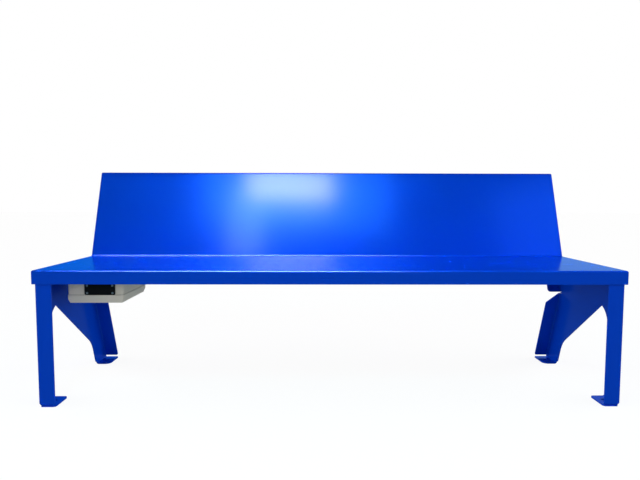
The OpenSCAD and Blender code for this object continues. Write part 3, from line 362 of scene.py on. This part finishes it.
junction = [e for e in panel.edges if all(at_junction(v) for v in e.verts)]
bmesh.ops.bevel(
    panel,
    geom=junction,
    offset=JUNCTION_R * math.tan((math.pi / 2 - BACK_LEAN) / 2),
    segments=FOLD_SEGMENTS,
    profile=0.5,
    affect="EDGES",
    material=-1,
)
folds = [e for e in panel.edges if len(e.link_faces) == 2 and e.calc_face_angle() > SHARP]
bmesh.ops.bevel(
    panel, geom=folds, offset=FOLD_R, segments=FOLD_SEGMENTS, profile=0.5, affect="EDGES", material=-1
)
panel_mesh = bpy.data.meshes.new("folded_panel")
panel.to_mesh(panel_mesh)
panel.free()
finish_piece(
    "folded_panel", panel_mesh, "seat_back_panel", edge_mm=0.5, edge_angle=60, wall_mm=PANEL_SHEET_MM
)

# %% [markdown]
# The end frames, the rails and the box already have their true shape in the CAD model, but their meshes are
# loose triangles with knife-sharp edges. A merged copy is better to work on: doubles are joined, the
# triangles of each flat face become one face again, and a bevel softens the edges. The legs are laser-cut
# plate, and the powder rounds its edges by half a millimetre or so.

# %% Clean copies of CAD nodes
MERGE_WITHIN = 0.03 * MM
FLAT_WITHIN = math.radians(0.4)


def clean_copy(node, name, edge_mm):
    work = bmesh.new()
    work.from_mesh(frame["nodes"][node].data)
    bmesh.ops.remove_doubles(work, verts=work.verts, dist=MERGE_WITHIN)
    bmesh.ops.dissolve_degenerate(work, edges=work.edges, dist=MERGE_WITHIN)
    bmesh.ops.dissolve_limit(
        work, angle_limit=FLAT_WITHIN, verts=work.verts, edges=work.edges, use_dissolve_boundaries=False
    )
    mesh_data = bpy.data.meshes.new(name)
    work.to_mesh(mesh_data)
    work.free()
    finish_piece(name, mesh_data, node, edge_mm)


clean_copy("left_end_frame", "left_folded_leg", 0.6)
clean_copy("right_end_frame", "right_folded_leg", 0.6)

# %% [markdown]
# The rails, ribs and gussets under and behind the panel are cut and bent from thinner sheet. They have the
# same coat, and their edges are a little sharper.

# %% Rails, ribs and gussets
for node in (
    "front_rail",
    "rear_rail",
    "left_seat_rib",
    "right_seat_rib",
    "left_back_rib",
    "right_back_rib",
    "left_knee_gusset",
    "right_knee_gusset",
):
    clean_copy(node, node + "_coated", 0.4)

# %% [markdown]
# The control box is an injection moulding in two halves with a rubber line between them, and a black plate
# covers its front opening. A mould leaves corners and rims with a small radius, most of a millimetre.

# %% The control box
clean_copy("box_base", "box_base_moulding", 0.6)
clean_copy("box_lid", "box_lid_moulding", 0.8)
clean_copy("front_plate", "front_plate_moulding", 0.5)

# %% [markdown]
# The floor is a plain pale sheet. The camera should see it as white, as it sees the world, so what the camera
# sees directly is mostly the floor's own light, and the rest is a matt grey that takes the bench's shadow and
# throws light back up under the seat. A shiny surface mirrors neither: it gets a dull grey-blue, as dark as
# the ground that the paint and the plate mirror in the photograph.

# %% Floor
FLOOR_REACH = 30
WHITE_SHARE = 0.8
WHITE_STRENGTH = 1.15
floor_mesh = bpy.data.meshes.new("floor")
sheet = bmesh.new()
bmesh.ops.create_grid(sheet, x_segments=1, y_segments=1, size=FLOOR_REACH)
sheet.to_mesh(floor_mesh)
sheet.free()
floor = bpy.data.objects.new("floor", floor_mesh)
bpy.context.scene.collection.objects.link(floor)

floor_finish = bpy.data.materials.new("matt_white_floor")
floor_finish.use_nodes = True
ground = floor_finish.node_tree
ground.nodes.clear()
asking = add_node(ground, "ShaderNodeLightPath")
share = add_node(
    ground, "ShaderNodeMath", {"operation": "MULTIPLY", 1: WHITE_SHARE}, {0: (asking, "Is Camera Ray")}
)
matt = add_node(ground, "ShaderNodeBsdfDiffuse", {"Color": linear("#D0D0D0")})
dusk = add_node(ground, "ShaderNodeEmission", {"Color": linear("#587680"), "Strength": 1.0})
glow = add_node(ground, "ShaderNodeEmission", {"Color": linear("#FFFFFF"), "Strength": WHITE_STRENGTH})
unseen = add_node(
    ground,
    "ShaderNodeMixShader",
    {},
    {"Fac": (asking, "Is Glossy Ray"), 1: (matt, "BSDF"), 2: (dusk, "Emission")},
)
shown = add_node(
    ground, "ShaderNodeMixShader", {}, {"Fac": (share, "Value"), 1: (unseen, "Shader"), 2: (glow, "Emission")}
)
add_node(ground, "ShaderNodeOutputMaterial", {}, {"Surface": (shown, "Shader")})
floor_mesh.materials.append(floor_finish)
print("floor reaches", FLOOR_REACH, "metres each way")

# %% [markdown]
# A narrow dark card hangs over the back's top edge, out of the camera's sight. Photographers call it a flag:
# the rounded top fold mirrors it and so ends in a dark line, as in the photograph.

# %% Flag over the top edge
FLAG_LENGTH = 2.1
FLAG_WIDTH = 0.12
FLAG_PLACE = (0, 0.303, 0.835)
flag_mesh = bpy.data.meshes.new("flag")
card = bmesh.new()
bmesh.ops.create_grid(card, x_segments=1, y_segments=1, size=0.5)
bmesh.ops.scale(card, vec=(FLAG_LENGTH, FLAG_WIDTH, 1), verts=card.verts)
card.to_mesh(flag_mesh)
card.free()
flag = bpy.data.objects.new("flag", flag_mesh)
flag.location = FLAG_PLACE
flag.visible_camera = False
flag.visible_diffuse = False
flag.visible_shadow = False
bpy.context.scene.collection.objects.link(flag)
flag_mesh.materials.append(surface("black_card", "#06080C", 0.9, 1.0, 0.01))
print("flag is", FLAG_LENGTH, "by", FLAG_WIDTH, "metres")

# %% [markdown]
# The light is a plain studio, and what its walls send depends on what asks. The first answer is for matt
# surfaces: a room that is dim in most directions and bright straight to the left and right, because the
# upright webs of the end frames face that way.

# %% The room that lights matt surfaces
ROOM_DIM = 0.12
ROOM_BRIGHT = 3.8
BRIGHTENS_FROM = 0.6
world = bpy.data.worlds.new("studio")
bpy.context.scene.world = world
world.use_nodes = True
studio = world.node_tree
studio.nodes.clear()
direction = add_node(studio, "ShaderNodeTexCoord")
axes = add_node(studio, "ShaderNodeSeparateXYZ", {}, {0: (direction, "Generated")})
sideways = add_node(studio, "ShaderNodeMath", {"operation": "ABSOLUTE"}, {0: (axes, "X")})
room_light = add_node(
    studio,
    "ShaderNodeMapRange",
    {"From Min": BRIGHTENS_FROM, "From Max": 1.0, "To Min": ROOM_DIM, "To Max": ROOM_BRIGHT},
    {"Value": (sideways, "Value")},
)
print("room light from", ROOM_DIM, "to", ROOM_BRIGHT)

# %% [markdown]
# The second answer is what shiny surfaces mirror. It is a soft gradient, so that metal never mirrors black:
# dark on the photographer's side, azure behind the bench's left end and pale behind its right end, which is
# what the two ends of the seat mirror. The dot product tells how far a direction points to the right rear.

# %% The room that shiny surfaces mirror
RIGHT_REAR = (0.5, 0.5, 0)
FARTHEST = 0.7
ROOM_COLOURS = ((0.0, "#303234"), (0.45, "#32363C"), (0.68, "#1688F4"), (0.95, "#86C0F8"))
across_room = add_node(
    studio,
    "ShaderNodeVectorMath",
    {"operation": "DOT_PRODUCT", 1: RIGHT_REAR},
    {0: (direction, "Generated")},
)
mirrored_room = add_node(
    studio,
    "ShaderNodeMapRange",
    {"From Min": -FARTHEST, "From Max": FARTHEST, "To Min": 0.0, "To Max": 1.0},
    {"Value": (across_room, "Value")},
)
gradient = add_node(studio, "ShaderNodeValToRGB", {}, {"Fac": (mirrored_room, "Result")})
stops = gradient.color_ramp.elements
for position, colour in ROOM_COLOURS[1:-1]:
    stops.new(position)
for stop, (position, colour) in zip(stops, ROOM_COLOURS):
    stop.position = position
    stop.color = linear(colour)
print("colours in the mirrored room:", len(stops))

# %% [markdown]
# High up in front the mirrored room has one bright window. The rounded folds mirror it as the thin pale lines
# of the photograph, and the flat faces look elsewhere and miss it. Each row is one edge of the window: the
# axis that it is measured along, where its light starts and where it is full. Directions have a length of
# one, so a Z of 0.87 is sixty degrees up. Every edge fades what the last one lets through.

# %% The window in the mirrored room
WINDOW_STRENGTH = 75.0
WINDOW_EDGES = (("X", -0.46, -0.34), ("X", 0.2, 0.0), ("Y", -0.16, -0.24), ("Z", 0.83, 0.87))
window = None
for axis, starts, full in WINDOW_EDGES:
    fade = {
        "interpolation_type": "SMOOTHSTEP",
        "From Min": starts,
        "From Max": full,
        "To Max": WINDOW_STRENGTH,
    }
    sources = {"Value": (axes, axis)}
    if window:
        sources["To Max"] = (window, "Result")
    window = add_node(studio, "ShaderNodeMapRange", fade, sources)
print("edges of the window:", len(WINDOW_EDGES))

# %% [markdown]
# The third answer is for the camera, which sees plain white. The Light Path node tells which of the three is
# asking, and mixes of two colours choose the answer. A Mix node keeps its colours in the sixth and seventh
# input and gives the mixed colour in its second output, counted from nought.

# %% What the world sends
COLOUR_A = 6
COLOUR_B = 7
MIXED = 2
asking = add_node(studio, "ShaderNodeLightPath")
shiny = add_node(
    studio,
    "ShaderNodeMath",
    {"operation": "MAXIMUM"},
    {0: (asking, "Is Glossy Ray"), 1: (asking, "Is Transmission Ray")},
)
reflected = add_node(
    studio,
    "ShaderNodeMix",
    {"data_type": "RGBA", "blend_type": "ADD", "Factor": 1.0},
    {COLOUR_A: (gradient, "Color"), COLOUR_B: (window, "Result")},
)
lit = add_node(
    studio,
    "ShaderNodeMix",
    {"data_type": "RGBA"},
    {"Factor": (shiny, "Value"), COLOUR_A: (room_light, "Result"), COLOUR_B: (reflected, MIXED)},
)
seen = add_node(
    studio,
    "ShaderNodeMix",
    {"data_type": "RGBA", COLOUR_B: linear("#FFFFFF")},
    {"Factor": (asking, "Is Camera Ray"), COLOUR_A: (lit, MIXED)},
)
background = add_node(studio, "ShaderNodeBackground", {"Strength": 1.0}, {"Color": (seen, MIXED)})
add_node(studio, "ShaderNodeOutputWorld", {}, {"Surface": (background, "Background")})
print("nodes of the world:", len(studio.nodes))

# %% [markdown]
# Five lamps do the rest. The glow box, wide and soft, hangs high behind the camera and gives the back its
# broad haze. The bright lamp within it makes the pale spot left of the middle. It is only mirrored and throws
# no light on matt surfaces, because so much of it would bleach the blue. A strip on its left widens the spot
# towards the end, a low box in front lifts the shadows under the seat, and a box on the right lifts that end.
# A row gives a lamp's name, its place, the point that it is aimed at, its width and height, its brightness
# and its colour. The watts follow from brightness and size.


# %% Lamps
def soft_panel(name, place, target, width, height, brightness, colour="#FFFFFF", mirrored_only=False):
    lamp = bpy.data.lights.new(name, "AREA")
    lamp.color = linear(colour)[:3]
    lamp.shape = "RECTANGLE"
    lamp.size = width
    lamp.size_y = height
    lamp.energy = brightness * math.pi * width * height
    holder = bpy.data.objects.new(name, lamp)
    holder.visible_diffuse = not mirrored_only
    aim = (Vector(target) - Vector(place)).to_track_quat("-Z", "Y").to_matrix().to_4x4()
    holder.matrix_world = Matrix.Translation(Vector(place)) @ aim
    bpy.context.scene.collection.objects.link(holder)
    print("lamp", name, "watts", round(lamp.energy, 1))


soft_panel("glow_box", (-0.23, -2.0, 2.64), (-0.05, 0.25, 0.65), 1.86, 0.64, 5.0, "#60ECFF")
soft_panel(
    "bright_lamp", (-0.3, -1.93, 2.72), (-0.14, 0.25, 0.7), 0.82, 0.24, 50, "#FFE6FF", mirrored_only=True
)
soft_panel("side_strip", (-0.7, -1.98, 2.26), (-0.35, 0.2, 0.65), 0.32, 0.62, 10.5, "#D4F2FF")
soft_panel("front_fill", (0.0, -2.6, 1.05), (0.0, 0.0, 0.35), 1.6, 0.3, 4.4)
soft_panel("right_box", (2.09, -1.74, 2.1), (0.85, 0.25, 0.6), 1.0, 0.9, 2.3, "#58B4FF")

# %% [markdown]
# The picture uses the Standard transform, so that a colour on the bench comes out as it was chosen.

# %% View transform
bpy.context.scene.view_settings.view_transform = "Standard"
